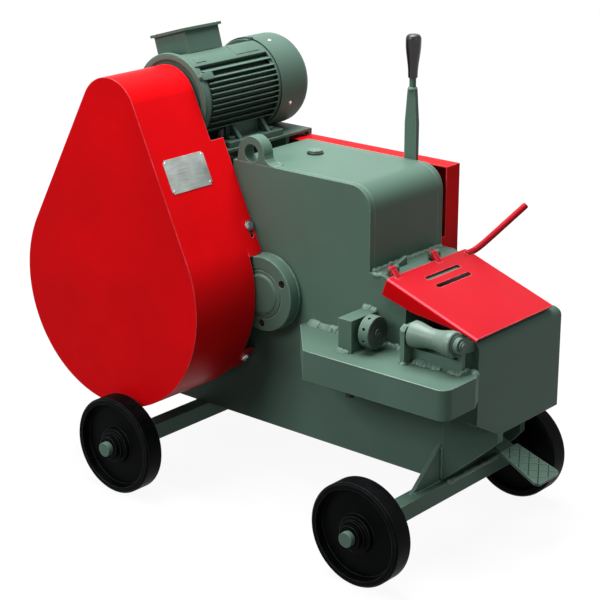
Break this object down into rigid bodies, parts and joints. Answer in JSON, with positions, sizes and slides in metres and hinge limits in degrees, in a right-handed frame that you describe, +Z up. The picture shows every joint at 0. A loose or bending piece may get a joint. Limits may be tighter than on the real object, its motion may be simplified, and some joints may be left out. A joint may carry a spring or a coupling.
{
  "type": "steel bar cutter",
  "caption": "Wheeled steel bar cutter with an electric motor, belt guard, flywheel and gear drive, crank ram, blades under a hinged guard, lever and pedal.",
  "frame": {"origin": "on the floor under the middle of the bounding box", "axes": "+X towards the nose and pedal, +Y from the belt side to the far side, +Z up"},
  "size_m": [1.1326, 0.681, 0.947],
  "materials": {
    "green_paint": "grey-green machine enamel",
    "motor_paint": "grey-green motor enamel",
    "fitting_paint": "worn grey-green enamel",
    "red_paint": "glossy red enamel",
    "wheel_black": "black enamel",
    "zinc_steel": "zinc plated",
    "dark_steel": "black oxide",
    "machined_steel": "ground and oiled",
    "cast_iron": "turned cast iron",
    "bronze": "turned bronze",
    "belt_rubber": "matt rubber",
    "grip_plastic": "smooth moulded",
    "black_plastic": "moulded"
  },
  "bodies": {
    "machine_frame": {"near_side_plate": "green_paint", "far_side_plate": "green_paint", "top_cover": "green_paint", "belly_plate": "green_paint", "rear_cover_plate": "green_paint", "nose_block": "green_paint", "throat_bed": "green_paint", "fixed_blade": "machined_steel", "ram_housing": "green_paint", "bar_shelf": "green_paint", "stop_block": "green_paint", "roller_brackets": "fitting_paint", "roller_pin": "fitting_paint", "lifting_eye": "green_paint", "oil_plug": "fitting_paint", "front_axle": "green_paint", "rear_axle": "green_paint", "wheel_collars": "wheel_black", "bearing_cap": "green_paint", "cap_screws": "dark_steel", "crank_bushes": "bronze", "shaft_bearings": "machined_steel", "belt_guard": "red_paint", "guard_brackets": "green_paint", "guard_bolts": "zinc_steel", "far_cover": "red_paint", "hinge_lugs": "green_paint", "motor_base": "green_paint", "motor_housing": "motor_paint", "drive_end_shield": "motor_paint", "fan_cowl": "motor_paint", "stator": "cast_iron", "terminal_box": "motor_paint", "terminal_lid": "motor_paint", "cable_gland": "black_plastic", "motor_bolts": "motor_paint", "v_belts": "belt_rubber"},
    "near_front_wheel": {"wheel_near_front": "wheel_black"},
    "near_rear_wheel": {"wheel_near_rear": "wheel_black"},
    "far_front_wheel": {"wheel_far_front": "wheel_black"},
    "far_rear_wheel": {"wheel_far_rear": "wheel_black"},
    "flywheel_set": {"flywheel": "cast_iron", "flywheel_shaft": "machined_steel"},
    "rotor_set": {"motor_rotor": "machined_steel", "motor_pulley": "cast_iron", "motor_fan": "black_plastic"},
    "counter_set": {"countershaft": "machined_steel", "countershaft_gear": "cast_iron"},
    "crank_gear_set": {"crank_gear": "cast_iron"},
    "crank_set": {"crankshaft": "machined_steel", "eccentric_ring": "bronze"},
    "ram_set": {"ram": "machined_steel", "moving_blade": "machined_steel"},
    "lever_set": {"hand_lever": "green_paint", "lever_grip": "grip_plastic"},
    "pedal_set": {"pedal": "green_paint"},
    "guard_flap": {"blade_guard": "red_paint"},
    "roller_set": {"feed_roller": "fitting_paint"},
    "stop_set": {"stop_screw": "fitting_paint"}
  },
  "joints": [
    {"name": "near_front_roll", "type": "hinge", "parent": "machine_frame", "child": "near_front_wheel", "pos_m": [0.38768, -0.294, 0.1045], "axis": [0, 1, 0], "continuous": true},
    {"name": "near_rear_roll", "type": "hinge", "parent": "machine_frame", "child": "near_rear_wheel", "pos_m": [-0.26032, -0.294, 0.1045], "axis": [0, 1, 0], "continuous": true},
    {"name": "far_front_roll", "type": "hinge", "parent": "machine_frame", "child": "far_front_wheel", "pos_m": [0.38768, 0.235, 0.1045], "axis": [0, 1, 0], "continuous": true},
    {"name": "far_rear_roll", "type": "hinge", "parent": "machine_frame", "child": "far_rear_wheel", "pos_m": [-0.26032, 0.235, 0.1045], "axis": [0, 1, 0], "continuous": true},
    {"name": "flywheel_turn", "type": "hinge", "parent": "machine_frame", "child": "flywheel_set", "pos_m": [-0.31632, -0.1515, 0.418], "axis": [0, 1, 0], "continuous": true},
    {"name": "rotor_turn", "type": "hinge", "parent": "machine_frame", "child": "rotor_set", "pos_m": [-0.30132, 0.0605, 0.797], "axis": [0, 1, 0], "continuous": true},
    {"name": "counter_turn", "type": "hinge", "parent": "machine_frame", "child": "counter_set", "pos_m": [-0.19873, 0.0805, 0.29523], "axis": [0, 1, 0], "continuous": true},
    {"name": "crank_gear_turn", "type": "hinge", "parent": "machine_frame", "child": "crank_gear_set", "pos_m": [-0.05632, 0.2295, 0.424], "axis": [0, 1, 0], "continuous": true},
    {"name": "crank_turn", "type": "hinge", "parent": "machine_frame", "child": "crank_set", "pos_m": [-0.05632, 0.0805, 0.424], "axis": [0, 1, 0], "range_deg": [0, 180]},
    {"name": "ram_slide", "type": "slide", "parent": "machine_frame", "child": "ram_set", "axis": [1, 0, 0], "range_m": [0, 0.05]},
    {"name": "lever_pull", "type": "hinge", "parent": "machine_frame", "child": "lever_set", "pos_m": [0.11568, 0.2065, 0.47], "axis": [0, 1, 0], "range_deg": [0, 22], "stiffness_Nm_per_rad": 4},
    {"name": "pedal_press", "type": "hinge", "parent": "machine_frame", "child": "pedal_set", "pos_m": [0.40868, 0.0805, 0.195], "axis": [0, 1, 0], "range_deg": [0, 9]},
    {"name": "guard_lift", "type": "hinge", "parent": "machine_frame", "child": "guard_flap", "pos_m": [0.24068, 0.0805, 0.526], "axis": [0, -1, 0], "range_deg": [0, 105]},
    {"name": "roller_turn", "type": "hinge", "parent": "machine_frame", "child": "roller_set", "pos_m": [0.39568, -0.0835, 0.434], "axis": [1, 0, 0], "continuous": true},
    {"name": "stop_slide", "type": "slide", "parent": "machine_frame", "child": "stop_set", "axis": [1, 0, 0], "range_m": [0, 0.02]}
  ],
  "couplings": [
    {"joint": "rotor_turn", "follows": "flywheel_turn", "ratio": 4.7021},
    {"joint": "counter_turn", "follows": "flywheel_turn", "ratio": -0.30769},
    {"joint": "crank_gear_turn", "follows": "flywheel_turn", "ratio": 0.086154},
    {"joint": "ram_slide", "follows": "crank_turn", "m_per_rad": 0.015915},
    {"joint": "pedal_press", "follows": "lever_pull", "ratio": 0.40909}
  ]
}
